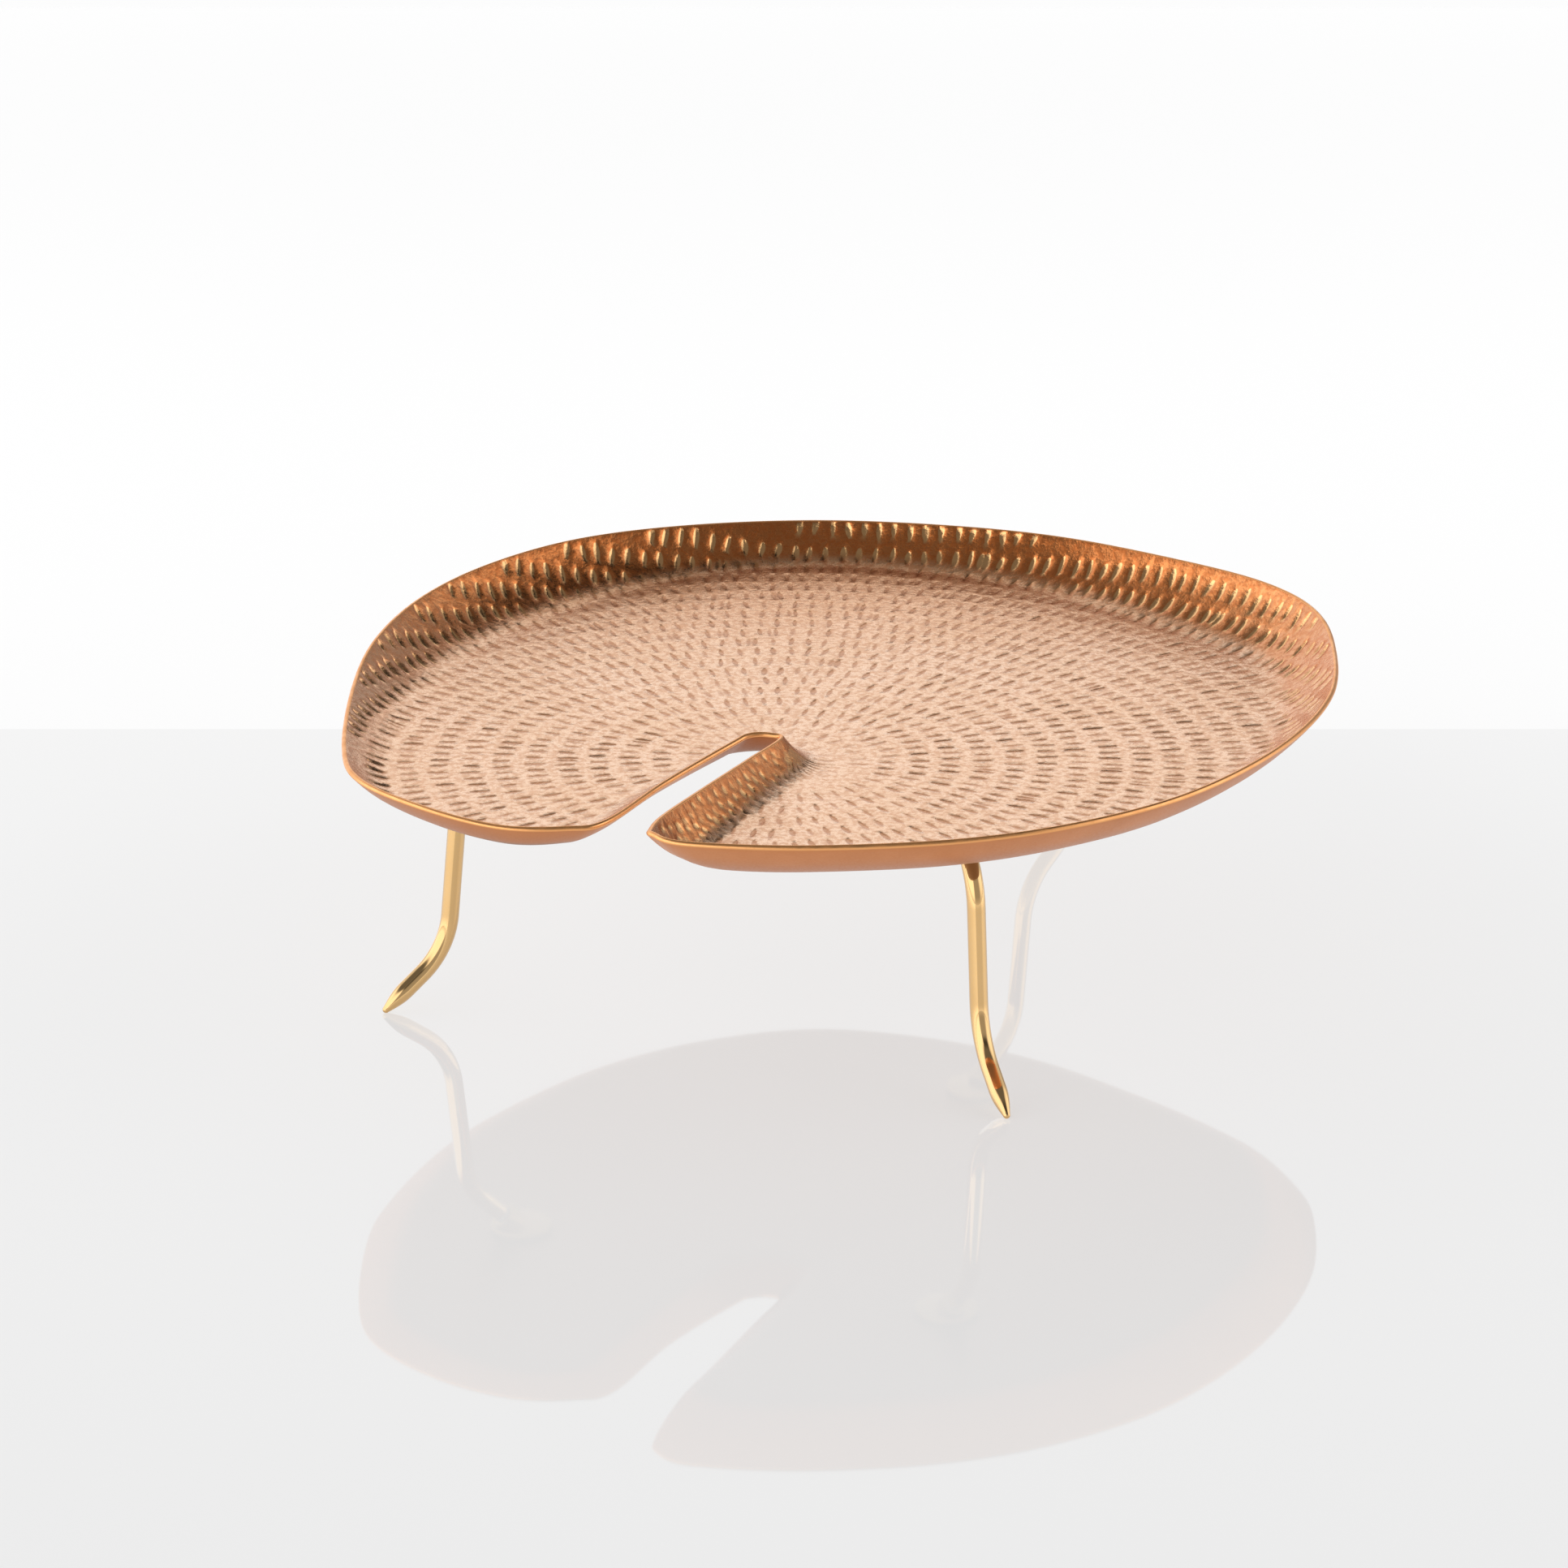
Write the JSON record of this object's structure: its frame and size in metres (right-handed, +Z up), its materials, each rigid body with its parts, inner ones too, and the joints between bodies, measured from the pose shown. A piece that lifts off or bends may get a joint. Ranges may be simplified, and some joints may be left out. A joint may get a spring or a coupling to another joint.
{
  "type": "tray table",
  "caption": "Low leaf-shaped tray table: a hammered copper-coloured dish with a notch in its edge, raised on bent polished brass rod legs.",
  "frame": {"origin": "on the supporting surface, below the middle of the tray's bounding box", "axes": "+Z up; -Y is the side that the leaf's notch opens to; +X to the right as seen from there"},
  "size_m": [0.4652, 0.4781, 0.155],
  "materials": {
    "tray_copper": "satin rose-copper, hammered inside with short radial strokes",
    "polished_brass": "polished yellow brass",
    "socket_brass": "turned, satin",
    "fastener_steel": "zinc plated"
  },
  "bodies": {
    "root": {"tray": "tray_copper", "leg_left": "polished_brass", "leg_right": "polished_brass", "leg_back": "polished_brass", "leg_socket_left": "socket_brass", "leg_socket_right": "socket_brass", "leg_socket_back": "socket_brass", "leg_stud_left": "fastener_steel", "leg_stud_right": "fastener_steel", "leg_stud_back": "fastener_steel", "leg_washer_left": "fastener_steel", "leg_washer_right": "fastener_steel", "leg_washer_back": "fastener_steel"}
  },
  "joints": []
}
